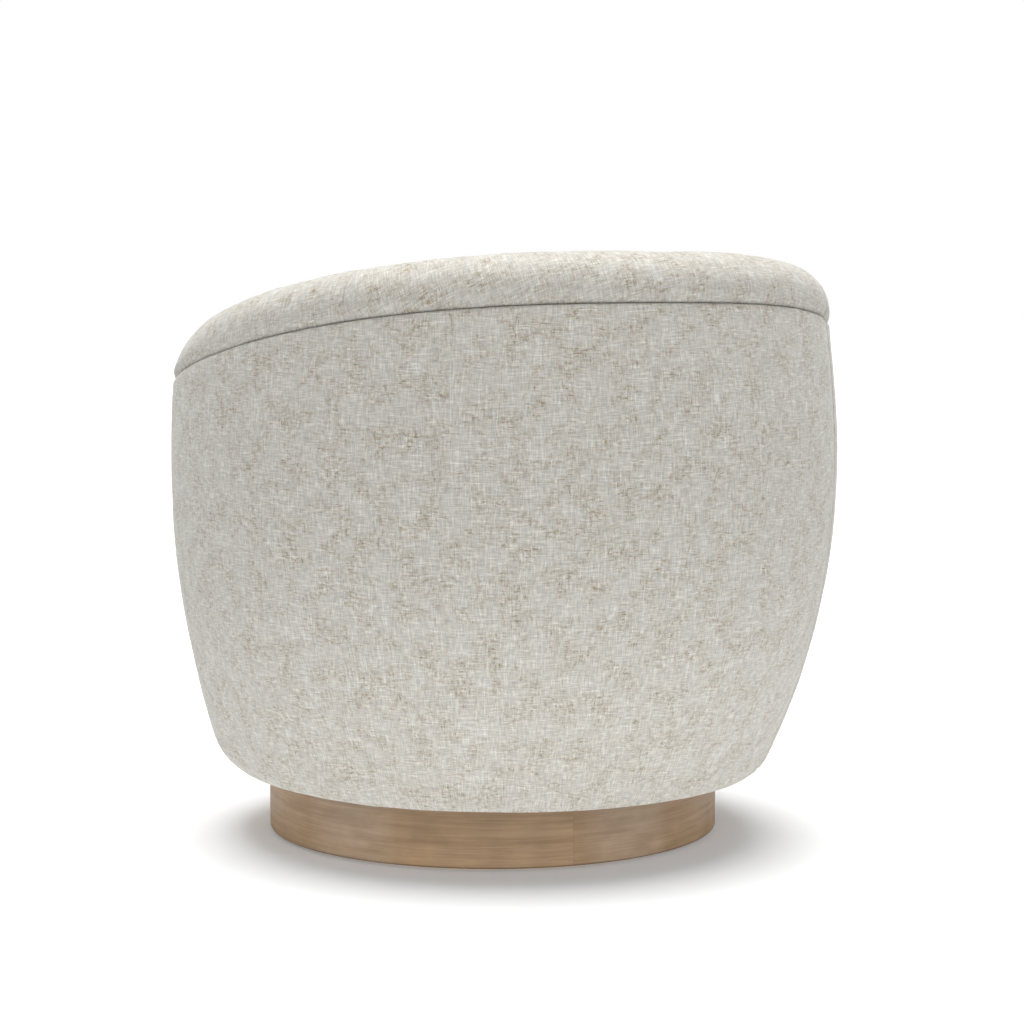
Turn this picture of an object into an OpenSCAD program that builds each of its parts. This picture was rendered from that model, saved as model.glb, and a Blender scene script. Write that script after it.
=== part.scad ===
// Swivel barrel chair: a round upholstered shell on a low round plinth, turning on a ball bearing.
// Up is +Z, the sitter faces -Y, and the sitter's left is +X.
// The origin is on the floor under the middle of the shell's round plan.
// Angles round the shell are measured from the middle of the back: 0 is +Y, 90 is +X, 180 is the front.

/* [Shell] */
// Width of the shell at its widest level
shell_w = 800; // [720:1:880]
// Depth of the shell at its widest level
shell_d = 816; // [730:1:900]
// Height of the cap's crest at the middle of the back
back_h = 703; // [640:1:780]
// Height of the shell's lower edge above the floor
shell_bottom = 80; // [74:1:100]
// Height of the shell's widest level
widest_z = 455; // [400:1:500]
// How far in from the shell's side the cover turns under
under_side_inset = 99; // [96:1:110]
// How far in from the shell's back the cover turns under
under_back_inset = 107; // [105:1:118]
// How far the back stands in at its lower edge
back_inset = 100; // [86:1:104]
// How far the arms stand in at their lower edge
side_inset = 53; // [30:1:70]
// How far the cover leans in from the widest level to the back's seam
upper_draw = 15.5; // [6:0.5:20]
// Drop of the rim from the back to the fronts of the arms
rim_drop = 110; // [60:1:140]
// Thickness of the outside panels, cover and wadding together
skin_t = 8; // [5:0.5:12]
// Thickness of the wall at the arms
arm_wall = 82; // [76:1:95]
// Thickness of the wall at the middle of the back
back_wall = 106; // [100:1:120]
// Thickness of the arms' inside padding
arm_pad = 27; // [20:1:32]
// Thickness of the inside padding at the middle of the back
back_pad = 43; // [34:1:48]
// How far the inside of the back swells
back_swell = 16; // [0:1:22]
// How far the insides of the arms swell
arm_swell = 8; // [0:1:12]

/* [Cap] */
// Height of the padded cap along the back
cap_h = 56.5; // [46:0.5:70]
// Height of the padded cap at the fronts of the arms
cap_arm_h = 65; // [46:0.5:70]
// How far the cap's crest leans in at the fronts of the arms
cap_lean = 18.5; // [0:0.5:22]
// How far the cap stands out over the outside panels
cap_overhang = 1; // [0:0.5:5]
// Length of the rounded nose at the front of each arm
nose_l = 40; // [28:1:50]

/* [Seat] */
// Height of the seat ring's upper face
seat_ring_z = 284; // [260:1:300]
// Thickness of the seat ring
seat_ring_t = 22; // [18:1:28]
// Width of the seat ring
seat_ring_w = 77; // [60:1:90]
// Number of webbing straps each way
strap_count = 5; // [3:1:5]
// Width of an elastic webbing strap
strap_w = 60; // [40:1:70]
// Gap between two straps side by side
strap_gap = 36; // [20:1:42]
// How far a strap runs onto the seat ring
strap_hold = 26; // [15:1:32]
// Thickness of an elastic webbing strap
strap_t = 1.5; // [1:0.1:2.5]
// Thickness of the pad on the deck
deck_pad_t = 17; // [10:1:25]
// Height of the cushion's boxing
cushion_t = 132; // [110:1:150]
// How far the cushion's top swells over its boxing
cushion_crown = 34; // [10:1:44]
// Gap round the cushion, to the inside of the shell
cushion_gap = 3; // [1.5:0.5:8]
// Round on the cushion's ears, in front of the arms
ear_round = 52; // [30:1:70]

/* [Frame] */
// Thickness of the plywood ribs
rib_t = 18; // [12:1:22]
// Depth of a rib's foot on the base ring, from the ring's edge
rib_foot = 46; // [36:1:54]
// Depth of the shelf that carries the seat ring
rib_shelf = 44; // [30:1:50]
// Thickness of the base ring and of its cross rails
base_ring_t = 24; // [18:1:28]
// Width of the base ring
base_ring_w = 58; // [56:1:66]
// Width of a cross rail
cross_rail_w = 60; // [48:1:70]
// Thickness of the rail under the cap
top_rail_t = 22; // [15:1:28]
// Thickness of the cloth that closes the underside
dust_cover_t = 0.8; // [0.5:0.1:1.5]

/* [Plinth] */
// Diameter of the plinth
plinth_d = 550; // [530:1:560]
// Height of the plinth's upper edge above the floor
plinth_h = 76; // [70:1:76]
// Thickness of the plinth's bent band
band_t = 12; // [9:1:16]
// Round on the band's lower edge
band_round = 3; // [1:0.5:5]
// Thickness of the plinth's top board
top_board_t = 18; // [15:1:22]
// Thickness of the plinth's bottom ring
bottom_ring_t = 15; // [12:1:18]
// Width of the plinth's bottom ring
bottom_ring_w = 60; // [50:1:80]
// Number of spacer blocks, and of glides
block_count = 6; // [4:1:8]
// Length of a spacer block
block_l = 60; // [40:1:90]
// Width of a spacer block
block_w = 40; // [25:1:48]
// Height of a glide, from the floor to the bottom ring
glide_h = 3; // [2:0.5:5]
// Diameter of a glide
glide_d = 28; // [20:1:40]
// How far the swivel stands in front of the shell's middle
swivel_offset = 32; // [10:0.5:36]

/* [Swivel] */
// Height of the swivel, over both plates
swivel_h = 22; // [20:0.5:24]
// Side of each square plate
plate_w = 230; // [200:1:250]
// Thickness of each plate
plate_t = 3; // [2:0.5:4]
// Radius at the plates' corners
plate_corner_r = 14; // [6:1:25]
// Radius of the ball track
track_r = 85; // [60:1:86]
// Width of the rings that carry the track
race_w = 16; // [12:1:20]
// Diameter of a ball
ball_d = 8; // [6:0.5:9]
// Number of balls
ball_count = 20; // [12:1:24]
// Radius of the centre pin
pin_r = 8; // [6:0.5:12]
// Radius of the centre pin's flanges
pin_flange_r = 14; // [13:0.5:20]
// Running gap round the centre pin and the balls
running_gap = 0.05; // [0.02:0.01:0.08]
// Distance of the plate bolts from the plates' edges
bolt_inset = 20; // [16:1:26]
// Radius of a plate bolt's shank
bolt_r = 4; // [3:0.5:5]

/* [Hidden] */

$fn = 96;

// Gap between soft pieces that meet at a seam
seam_gap = 0.3;
// Gap between the frame and the covers that it carries
frame_gap = 0.6;
// Overrun of every cut
cut = 1;

// Places round the shell, in degrees from the middle of the back
seam_angle = 51;
arm_end = 124;
rim_level_angle = 135;
rib_angles = [0, 31, 62, 93, 121];
front_rib_angle = 152;

// Shape of the shell as shares
lower_power_share = 2.1;
rim_power_share = 1.29;
cap_back_power_share = 0.74;
cap_arm_power_share = 1.15;
cap_run_share = 3.3;
nose_power_share = 0.5;

// Heights that follow from the sizes above
rim_z = back_h - cap_h;
border_top = seat_ring_z + 2 * strap_t;
deck_top = seat_ring_z + 2 * strap_t + seam_gap + deck_pad_t;
cushion_z = deck_top + seam_gap;
base_top = shell_bottom + base_ring_t;
plinth_board_top = shell_bottom - swivel_h;
swivel_y = -swivel_offset;

// Half-axes and radii that follow from the sizes above
inner_half_w = shell_w / 2 - arm_wall;
inner_half_d = shell_d / 2 - back_wall;
frame_half_w = inner_half_w + arm_pad;
frame_half_d = inner_half_d + back_pad;
under_half_w = shell_w / 2 - under_side_inset;
under_half_d = shell_d / 2 - under_back_inset;
base_ring_r = min(under_half_w, under_half_d) - skin_t - seam_gap;
seat_ring_r = min(frame_half_w, frame_half_d);
band_in_r = plinth_d / 2 - band_t;
bolt_reach = plate_w / 2 - bolt_inset;

// Radius of an ellipse with these half-axes across X and along Y
function plan_r(a, half_w, half_d) =
    half_w * half_d / sqrt(pow(half_d * sin(a), 2) + pow(half_w * cos(a), 2));

// Radius of the frame's inner face, which the inside padding covers
function frame_r(a) = plan_r(a, frame_half_w, frame_half_d);

// Height of the seam under the cap
function rim_share(a) = (1 - cos(180 * pow(min(1, abs(a) / rim_level_angle), rim_power_share))) / 2;
function seam_z(a) = rim_z - rim_drop * rim_share(a);

// How far the shell stands in at its lower edge, and the round under it
function lower_inset(a) =
    side_inset + (back_inset - side_inset) * cos(min(abs(a), arm_end) * 90 / arm_end);
function corner(a) =
    plan_r(a, shell_w / 2, shell_d / 2) - lower_inset(a) - plan_r(a, under_half_w, under_half_d);

// Radius of the shell's outside at an angle and a height
function out_r(a, z) =
    let (u = min(1, (z - shell_bottom) / (widest_z - shell_bottom)))
    let (v = min(1, (z - shell_bottom) / corner(a)))
    let (w = max(0, (z - widest_z) / (rim_z - widest_z)))
    plan_r(a, shell_w / 2, shell_d / 2)
        - lower_inset(a) * pow(1 - u, lower_power_share)
        - corner(a) * (1 - sqrt(1 - pow(1 - v, 2)))
        - upper_draw * w * w;

// Radius of the shell's inside at an angle and a height, with the swell of each panel
function in_r(a, z) =
    let (v = max(0, min(1, (z - deck_top) / (seam_z(a) - deck_top))))
    let (back = abs(a) < seam_angle)
    let (across = back ? cos(90 * a / seam_angle)
                       : sin(180 * (abs(a) - seam_angle) / (arm_end - seam_angle)))
    plan_r(a, inner_half_w, inner_half_d)
        - (back ? back_swell : arm_swell) * sin(180 * v) * sqrt(max(0, across));

// Half-width and middle of the wall at an angle and a height
function wall_half(a, z) = (out_r(a, z) - in_r(a, z)) / 2;
function wall_mid(a, z) = (out_r(a, z) + in_r(a, z)) / 2;

// A point of a radial section, and the angle that a length spans at a radius
function at_angle(a, r, z) = [r * sin(a), r * cos(a), z];
function span_angle(length, r) = length / r * 180 / PI;
seam_half = span_angle(seam_gap / 2, inner_half_d);
nose_angle = span_angle(nose_l, frame_half_w);

// Even angles between two limits
function steps(from, to, count) = [for (i = [0 : count]) from + (to - from) * i / count];
function mirrored(angles) = [for (i = [len(angles) - 1 : -1 : 0]) -angles[i]];

// Angles of the sections that the back's pieces share, and those that an arm's pieces share
back_turns = steps(-seam_angle + seam_half, seam_angle - seam_half, 24);
arm_turns = steps(seam_angle + seam_half, arm_end - seam_half, 20);
front_turns = steps(arm_end + seam_half, 360 - arm_end - seam_half, 26);

// Heights of the rows of an outside panel: the round under the edge first, then even steps
corner_rows = 5;
wall_rows = 9;
panel_rows = corner_rows + wall_rows;
function row_z(a, i, top) =
    i < corner_rows
        ? shell_bottom + corner(a) * (1 - cos(90 * i / corner_rows))
        : shell_bottom + corner(a)
            + (top - shell_bottom - corner(a)) * (i - corner_rows) / wall_rows;

// Radius of a panel's outside between its rows, which are straight from one to the next
function panel_r(a, z, top) =
    lookup(z, [for (i = [0 : panel_rows]) let (row = row_z(a, i, top)) [row, out_r(a, row)]]);

// Triangles that close an end: across the section from both its sides, or all from one point
function strip_end(n) =
    [for (j = [0 : floor((n - 3) / 2)])
        each concat([[j, j + 1, n - 1 - j]], j + 1 < n - 2 - j ? [[j + 1, n - 2 - j, n - 1 - j]] : [])];
function fan_end(n, hub) = [for (k = [1 : n - 2]) [hub, (hub + k) % n, (hub + k + 1) % n]];

// A solid through closed sections of equal length
module loft(sections, end) {
    n = len(sections[0]);
    last = len(sections) - 1;
    polyhedron(
        points = [for (s = sections) each s],
        faces = concat(
            end,
            [for (i = [0 : last - 1], j = [0 : n - 1]) each [
                [i * n + j, (i + 1) * n + j, i * n + (j + 1) % n],
                [i * n + (j + 1) % n, (i + 1) * n + j, (i + 1) * n + (j + 1) % n]]],
            [for (t = end) [last * n + t[2], last * n + t[1], last * n + t[0]]]));
}

// Upholstered skin over a run of angles, from the lower edge up to a height that may follow the rim
module outside_panel(turns, top = undef) {
    loft([for (a = turns)
        let (high = is_undef(top) ? seam_z(a) - seam_gap : top)
        concat(
            [for (i = [0 : panel_rows]) let (z = row_z(a, i, high)) at_angle(a, out_r(a, z), z)],
            [for (i = [panel_rows : -1 : 0])
                let (z = row_z(a, i, high)) at_angle(a, out_r(a, z) - skin_t, z)])],
        strip_end(2 * (panel_rows + 1)));
}

// Padding on the inside of the frame over a run of angles, from the deck up to the cap
module inside_panel(turns) {
    rows = 8;
    low = border_top + seam_gap;
    loft([for (a = turns)
        let (high = seam_z(a) - seam_gap)
        concat(
            [at_angle(a, frame_r(a), low), at_angle(a, frame_r(a), high)],
            [for (i = [rows : -1 : 0])
                let (z = deck_top + (high - deck_top) * i / rows) at_angle(a, in_r(a, z), z)],
            [at_angle(a, in_r(a, low), low)])],
        fan_end(rows + 4, 1));
}

// Section of the cap, drawn in by the two shares towards its end: full along the back,
// higher, rounder and leaning in towards the fronts of the arms
cap_rows = 12;
nose_turns = [0, 10, 22, 34, 46, 58, 70, 80, 85];
function cap_section(a, width_share = 1, height_share = 1) =
    let (z = seam_z(a))
    let (half = (wall_half(a, z) + cap_overhang) * width_share)
    let (run = pow(min(1, abs(a) / arm_end), cap_run_share))
    let (power = cap_back_power_share + (cap_arm_power_share - cap_back_power_share) * run)
    let (high = (cap_h + (cap_arm_h - cap_h) * run) * height_share)
    let (lean = cap_lean * run * width_share)
    [for (i = [0 : cap_rows])
        let (t = 180 * i / cap_rows)
        at_angle(a, wall_mid(a, z) + half * sign(cos(t)) * pow(abs(cos(t)), power) - lean * sin(t),
            z + high * pow(sin(t), power))];

// Radial plywood rib, seen from its side: foot, outer curve, head, inner edge and shelf
module rib(a, top, panel_top) {
    face = skin_t + frame_gap;
    lean = span_angle(rib_t / 2, frame_half_w);
    inner = max(frame_r(a - lean), frame_r(a + lean)) + seam_gap;
    shelf_z = seat_ring_z - seat_ring_t;
    shelf_r = frame_r(a) - rib_shelf;
    rows = [for (i = [0 : panel_rows])
        let (z = row_z(a, i, panel_top)) if (z > base_top + frame_gap && z < top - frame_gap) z];
    outline = concat(
        [[base_ring_r - rib_foot, base_top]],
        [for (z = concat([base_top], rows, [top]))
            [min(panel_r(a - lean, z, panel_top), panel_r(a + lean, z, panel_top)) - face, z]],
        [[inner, top], [inner, shelf_z], [shelf_r, shelf_z], [shelf_r, shelf_z - rib_shelf]]);
    rotate([0, 0, 90 - a])
        translate([0, rib_t / 2, 0])
        rotate([90, 0, 0])
        linear_extrude(rib_t)
        polygon(outline);
}

// Rib that carries the top rail, with its head clear of the sloping rail
module wall_rib(a) {
    lean = span_angle(rib_t / 2, frame_half_w);
    color("burlywood")
        rib(a, seam_z(abs(a) + lean) - frame_gap - top_rail_t - seam_gap, seam_z(a) - seam_gap);
}

module low_rib(a) color("burlywood") rib(a, seat_ring_z, border_top);

// Ring with a true bore, standing on a height
module ring(outer, inner, z, height) {
    translate([0, 0, z])
        difference() {
            cylinder(h = height, r = outer);
            translate([0, 0, -cut]) cylinder(h = height + 2 * cut, r = inner);
        }
}

module on_swivel() translate([0, swivel_y, 0]) children();

module ring_of(count, r) {
    for (i = [0 : count - 1]) rotate([0, 0, i * 360 / count]) translate([0, -r, 0]) children();
}

module at_bolts() {
    for (x = [-1, 1], y = [-1, 1]) translate([x * bolt_reach, y * bolt_reach, 0]) children();
}

// Plinth
glide_ring_r = band_in_r - bottom_ring_w / 2;
board_bottom = plinth_board_top - top_board_t;
bottom_ring_top = glide_h + bottom_ring_t;

module plinth_band() color("tan") on_swivel()
    rotate_extrude($fn = 180)
    difference() {
        translate([band_in_r, glide_h]) square([band_t, plinth_h - glide_h]);
        translate([plinth_d / 2 - band_round, glide_h])
            difference() {
                translate([0, -cut]) square([band_round + cut, band_round + cut]);
                translate([0, band_round]) circle(band_round, $fn = 32);
                translate([-band_round, 0]) square([band_round, band_round + cut]);
            }
    }

module plinth_top_board() color("burlywood") on_swivel()
    difference() {
        translate([0, 0, board_bottom]) cylinder(h = top_board_t, r = band_in_r);
        at_bolts()
            translate([0, 0, board_bottom - cut]) cylinder(h = top_board_t + 2 * cut, r = bolt_r + running_gap);
    }

module plinth_bottom_ring() color("burlywood") on_swivel()
    ring(band_in_r, band_in_r - bottom_ring_w, glide_h, bottom_ring_t);

module plinth_blocks() color("burlywood") on_swivel()
    ring_of(block_count, glide_ring_r)
    translate([-block_l / 2, -block_w / 2, bottom_ring_top])
    cube([block_l, block_w, board_bottom - bottom_ring_top]);

module glides() color("dimgray") on_swivel()
    ring_of(block_count, glide_ring_r) cylinder(h = glide_h, d = glide_d);

// Swivel
ball_r = ball_d / 2;
ball_z = shell_bottom - swivel_h / 2;
race_h = swivel_h / 2 - plate_t - ball_r / 2;
cage_t = ball_r / 2;
cage_w = race_w - cage_t;
head_h = bolt_r;
head_r = 2 * bolt_r;

// Square plate with round corners, a centre hole and four bolt holes
module swivel_plate(z, hole_r) {
    straight = plate_w - 2 * plate_corner_r;
    translate([0, 0, z])
        linear_extrude(plate_t)
        difference() {
            union() {
                square([plate_w, straight], center = true);
                square([straight, plate_w], center = true);
                for (x = [-1, 1], y = [-1, 1])
                    translate([x, y] * straight / 2) circle(plate_corner_r);
            }
            circle(hole_r);
            for (x = [-1, 1], y = [-1, 1])
                translate([x, y] * bolt_reach) circle(bolt_r + running_gap);
        }
}

// Ring that carries half of the ball track
module race(z) {
    rotate_extrude()
        difference() {
            translate([track_r - race_w / 2, z]) square([race_w, race_h]);
            translate([track_r, ball_z]) circle(ball_r + running_gap);
        }
}

module swivel_lower_plate() color("silver") on_swivel() {
    union() {
        swivel_plate(plinth_board_top, pin_r + running_gap);
        race(plinth_board_top + plate_t);
    }
}

module swivel_upper_plate() color("silver") on_swivel() {
    union() {
        swivel_plate(shell_bottom - plate_t, pin_r + running_gap);
        race(shell_bottom - plate_t - race_h);
    }
}

// Bolt with a low head, its shank along +Z from the head's underside
module bolt(length) {
    translate([0, 0, -head_h]) cylinder(h = head_h, r = head_r);
    cylinder(h = length, r = bolt_r);
}

module swivel_lower_bolts() color("gray") on_swivel()
    at_bolts()
    translate([0, 0, plinth_board_top + plate_t])
    rotate([180, 0, 0])
    bolt(plate_t + top_board_t);

module swivel_upper_bolts() color("gray") on_swivel()
    at_bolts()
    translate([0, 0, shell_bottom - plate_t])
    bolt(plate_t + base_ring_t);

module swivel_pin() color("gray") on_swivel() {
    translate([0, 0, plinth_board_top])
        cylinder(h = swivel_h + plate_t, r = pin_r);
    translate([0, 0, plinth_board_top + plate_t])
        cylinder(h = plate_t, r = pin_flange_r);
    translate([0, 0, shell_bottom + running_gap])
        cylinder(h = plate_t, r = pin_flange_r);
}

module bearing_cage() color("goldenrod") on_swivel()
    difference() {
        ring(track_r + cage_w / 2, track_r - cage_w / 2, ball_z - cage_t / 2, cage_t);
        ring_of(ball_count, track_r)
            translate([0, 0, ball_z - cage_t]) cylinder(h = 2 * cage_t, r = ball_r + 2 * running_gap);
    }

module bearing_balls() color("lightgray") on_swivel()
    ring_of(ball_count, track_r) translate([0, 0, ball_z]) sphere(ball_r);

// Frame
rail_x = bolt_reach;
ring_inner_r = base_ring_r - base_ring_w;

module base_ring() color("burlywood")
    ring(base_ring_r, ring_inner_r, shell_bottom, base_ring_t);

module cross_rail(side) color("burlywood")
    difference() {
        intersection() {
            translate([side * rail_x - cross_rail_w / 2, -ring_inner_r, shell_bottom])
                cube([cross_rail_w, 2 * ring_inner_r, base_ring_t]);
            translate([0, 0, shell_bottom - cut])
                cylinder(h = base_ring_t + 2 * cut, r = ring_inner_r);
        }
        on_swivel() at_bolts()
            translate([0, 0, shell_bottom - cut])
            cylinder(h = base_ring_t + 2 * cut, r = bolt_r + running_gap);
    }

module cross_rail_left() cross_rail(1);
module cross_rail_right() cross_rail(-1);

module seat_ring() color("burlywood")
    ring(seat_ring_r, seat_ring_r - seat_ring_w, seat_ring_z - seat_ring_t, seat_ring_t);

module rib_back() wall_rib(rib_angles[0]);
module rib_back_left() wall_rib(rib_angles[1]);
module rib_back_right() wall_rib(-rib_angles[1]);
module rib_side_left() wall_rib(rib_angles[2]);
module rib_side_right() wall_rib(-rib_angles[2]);
module rib_arm_left() wall_rib(rib_angles[3]);
module rib_arm_right() wall_rib(-rib_angles[3]);
module rib_arm_front_left() wall_rib(rib_angles[4]);
module rib_arm_front_right() wall_rib(-rib_angles[4]);
module rib_front() low_rib(180);
module rib_front_left() low_rib(front_rib_angle);
module rib_front_right() low_rib(-front_rib_angle);

// Rail bent along the rim, under the cap
module top_rail() color("burlywood")
    loft([for (a = concat(mirrored(arm_turns), back_turns, arm_turns))
        let (high = seam_z(a) - frame_gap)
        let (low = high - top_rail_t)
        let (outer = min(out_r(a, low), out_r(a, high)) - skin_t - frame_gap)
        let (inner = frame_r(a) + seam_gap)
        [at_angle(a, outer, low), at_angle(a, outer, high),
            at_angle(a, inner, high), at_angle(a, inner, low)]],
        strip_end(4));

// Seat
strap_r = seat_ring_r - seat_ring_w + strap_hold;

// Straps side by side, each cut to the length that holds on the ring
module straps(z) {
    for (i = [0 : strap_count - 1])
        let (offset = (i - (strap_count - 1) / 2) * (strap_w + strap_gap))
        let (reach = sqrt(pow(strap_r, 2) - pow(abs(offset) + strap_w / 2, 2)))
        translate([offset - strap_w / 2, -reach, z]) cube([strap_w, 2 * reach, strap_t]);
}

module webbing_lengthwise() color("darkkhaki") straps(seat_ring_z);
module webbing_crosswise() color("khaki") rotate([0, 0, 90]) straps(seat_ring_z + strap_t);

// Outline of the deck: inside the shell up to the arm noses, then out to the round front
deck_turn = arm_end + nose_angle + 2 * seam_half;
deck_edge_z = deck_top - deck_pad_t / 2;

module deck_pad() color("gainsboro")
    translate([0, 0, border_top + seam_gap])
    linear_extrude(deck_pad_t)
    polygon(concat(
        [for (a = concat([-deck_turn], mirrored(arm_turns), back_turns, arm_turns, [deck_turn]))
            (plan_r(a, inner_half_w, inner_half_d) - seam_gap) * [sin(a), cos(a)]],
        [for (a = steps(deck_turn, 360 - deck_turn, 28))
            out_r(min(a, 360 - a), deck_edge_z) * [sin(a), cos(a)]]));

module dust_cover() color("black")
    difference() {
        translate([0, 0, shell_bottom - dust_cover_t]) cylinder(h = dust_cover_t, r = base_ring_r);
        on_swivel() translate([0, 0, shell_bottom - dust_cover_t - cut])
            cylinder(h = dust_cover_t + 2 * cut, r = plate_w * sqrt(2) / 2);
    }

// Cushion outline: along the inside of the shell, then out past the arm noses to the round front
ear_start = arm_end + nose_angle + span_angle(cushion_gap, frame_half_w);
ear_end = ear_start + span_angle(ear_round, frame_half_w);
function cushion_r(a) =
    let (b = min(abs(a), 360 - abs(a)))
    let (ear = sin(90 * max(0, min(1, (b - ear_start) / (ear_end - ear_start)))))
    plan_r(b, inner_half_w - arm_swell, inner_half_d - back_swell) * (1 - ear) - cushion_gap
        + plan_r(b, shell_w / 2, shell_d / 2) * ear;

// Radius of a ring of the cushion, rounder towards its middle
function cushion_ring_r(a, share) =
    let (own = share * share)
    share * (cushion_r(a) * own + plan_r(a, inner_half_w, inner_half_d) * (1 - own));

// Sections of the cushion: along the shell, round each ear and along the front
along_turns = 46;
ear_turns = 6;
cushion_front_turns = 18;
ear_angles = [for (i = [1 : ear_turns - 1]) ear_start + (ear_end - ear_start) * i / ear_turns];
cushion_angles = concat(
    steps(-ear_start, ear_start, along_turns),
    ear_angles,
    steps(ear_end, 360 - ear_end, cushion_front_turns),
    [for (i = [len(ear_angles) - 1 : -1 : 0]) 360 - ear_angles[i]]);

// Rings of the cushion: share of the outline, share of the boxing's height, share of the crown
cushion_ring_shares = [[0.45, 0, 0], [0.88, 0, 0], [0.93, 0.08, 0], [0.98, 0.26, 0], [1, 0.48, 0],
    [0.987, 0.69, 0], [0.963, 0.83, 0], [0.92, 0.95, 0], [0.87, 1, 0.12], [0.815, 1, 0.4],
    [0.75, 1, 0.62], [0.64, 1, 0.78], [0.42, 1, 0.93], [0.2, 1, 0.99]];

module seat_cushion() color("gainsboro") {
    turns = len(cushion_angles);
    rings = len(cushion_ring_shares);
    polyhedron(
        points = concat(
            [for (s = cushion_ring_shares, a = cushion_angles)
                at_angle(a, cushion_ring_r(a, s[0]), cushion_z + cushion_t * s[1] + cushion_crown * s[2])],
            [[0, 0, cushion_z], [0, 0, cushion_z + cushion_t + cushion_crown]]),
        faces = concat(
            [for (k = [0 : rings - 2], i = [0 : turns - 1])
                let (j = (i + 1) % turns)
                each [[k * turns + i, k * turns + j, (k + 1) * turns + i],
                    [k * turns + j, (k + 1) * turns + j, (k + 1) * turns + i]]],
            [for (i = [0 : turns - 1]) let (j = (i + 1) % turns) [rings * turns, j, i]],
            [for (i = [0 : turns - 1]) let (j = (i + 1) % turns)
                [rings * turns + 1, (rings - 1) * turns + i, (rings - 1) * turns + j]]));
}

// Upholstery
module outside_back() color("lightgray") outside_panel(back_turns);
module outside_arm_left() color("lightgray") outside_panel(arm_turns);
module outside_arm_right() color("lightgray") outside_panel(mirrored(arm_turns));
module front_border() color("lightgray") outside_panel(front_turns, border_top);

module inside_back() color("gainsboro") inside_panel(back_turns);
module inside_arm_left() color("gainsboro") inside_panel(arm_turns);
module inside_arm_right() color("gainsboro") inside_panel(mirrored(arm_turns));

// Rounded front of an arm, from the deck up to the cap
module arm_front(side) color("lightgray") {
    low = border_top + seam_gap;
    rows = 8;
    turns = 12;
    loft([for (k = [0 : rows])
        [for (t = steps(-90, 90, turns))
            let (a = arm_end + seam_half + nose_angle * cos(t))
            let (high = seam_z(a) - seam_gap)
            let (z = low + (high - low) * k / rows)
            at_angle(side * a, wall_mid(arm_end, z) + wall_half(arm_end, z) * side * sin(t), z)]],
        strip_end(turns + 1));
}

module arm_front_left() arm_front(1);
module arm_front_right() arm_front(-1);

// Padded roll along the rim, from the middle seam to a rounded end over the arm's nose
module cap_arm(side) color("whitesmoke") {
    angles = concat(
        [for (a = arm_turns) [a, 1, 1]],
        [for (t = nose_turns) [arm_end + nose_angle * sin(t), cos(t), pow(cos(t), nose_power_share)]]);
    ordered = side > 0 ? angles : [for (i = [len(angles) - 1 : -1 : 0]) angles[i]];
    loft([for (s = ordered) cap_section(side * s[0], s[1], s[2])], strip_end(cap_rows + 1));
}

module cap_back() color("whitesmoke")
    loft([for (a = back_turns) cap_section(a)], strip_end(cap_rows + 1));
module cap_arm_left() cap_arm(1);
module cap_arm_right() cap_arm(-1);

plinth_band();
plinth_top_board();
plinth_bottom_ring();
plinth_blocks();
glides();
swivel_lower_plate();
swivel_lower_bolts();
swivel_pin();
bearing_cage();
bearing_balls();
swivel_upper_plate();
swivel_upper_bolts();
base_ring();
cross_rail_left();
cross_rail_right();
seat_ring();
rib_back();
rib_back_left();
rib_back_right();
rib_side_left();
rib_side_right();
rib_arm_left();
rib_arm_right();
rib_arm_front_left();
rib_arm_front_right();
rib_front();
rib_front_left();
rib_front_right();
top_rail();
webbing_lengthwise();
webbing_crosswise();
deck_pad();
dust_cover();
outside_back();
outside_arm_left();
outside_arm_right();
front_border();
inside_back();
inside_arm_left();
inside_arm_right();
arm_front_left();
arm_front_right();
cap_back();
cap_arm_left();
cap_arm_right();
seat_cushion();
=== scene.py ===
import math

import bmesh
import bpy
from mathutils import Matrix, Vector, noise


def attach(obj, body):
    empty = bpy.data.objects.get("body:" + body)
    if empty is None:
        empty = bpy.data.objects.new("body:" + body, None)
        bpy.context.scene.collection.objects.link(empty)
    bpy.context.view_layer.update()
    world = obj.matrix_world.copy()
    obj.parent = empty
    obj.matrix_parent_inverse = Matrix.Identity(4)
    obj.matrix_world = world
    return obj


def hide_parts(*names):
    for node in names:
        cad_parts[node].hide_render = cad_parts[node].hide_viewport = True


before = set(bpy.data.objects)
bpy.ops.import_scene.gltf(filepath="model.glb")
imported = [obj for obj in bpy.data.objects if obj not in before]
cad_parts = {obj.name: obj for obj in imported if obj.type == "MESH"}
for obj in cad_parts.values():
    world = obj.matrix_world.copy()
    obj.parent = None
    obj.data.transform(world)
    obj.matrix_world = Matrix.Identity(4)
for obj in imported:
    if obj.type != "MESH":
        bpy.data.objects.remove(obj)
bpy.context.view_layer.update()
scene = bpy.context.scene

# Sizes of the chair: metres, and degrees from the middle of the back

SHELL_HALF_W, SHELL_HALF_D = 0.400, 0.408
INSIDE_HALF_W, INSIDE_HALF_D = 0.318, 0.302
UNDER_HALF_W, UNDER_HALF_D = 0.301, 0.301
SHELL_BOTTOM, WIDEST_Z, RIM_Z = 0.080, 0.455, 0.6465
BACK_INSET, SIDE_INSET, INSET_POWER, UPPER_DRAW = 0.100, 0.053, 2.1, 0.0155
RIM_DROP, RIM_LEVEL_ANGLE, RIM_POWER = 0.110, 135.0, 1.29
BACK_SWELL, ARM_SWELL = 0.016, 0.008
SEAM_ANGLE, ARM_END = 51.0, 124.0
ARM_R, NOSE_REACH = 0.345, 0.040
NOSE_ANGLE = math.degrees(NOSE_REACH / ARM_R)
BORDER_TOP, DECK_TOP = 0.287, 0.3043
SWIVEL_Y, PLINTH_R = -0.0320, 0.275
OUTSIDE_GAP, INSIDE_GAP = 0.0002, 0.0003

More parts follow.
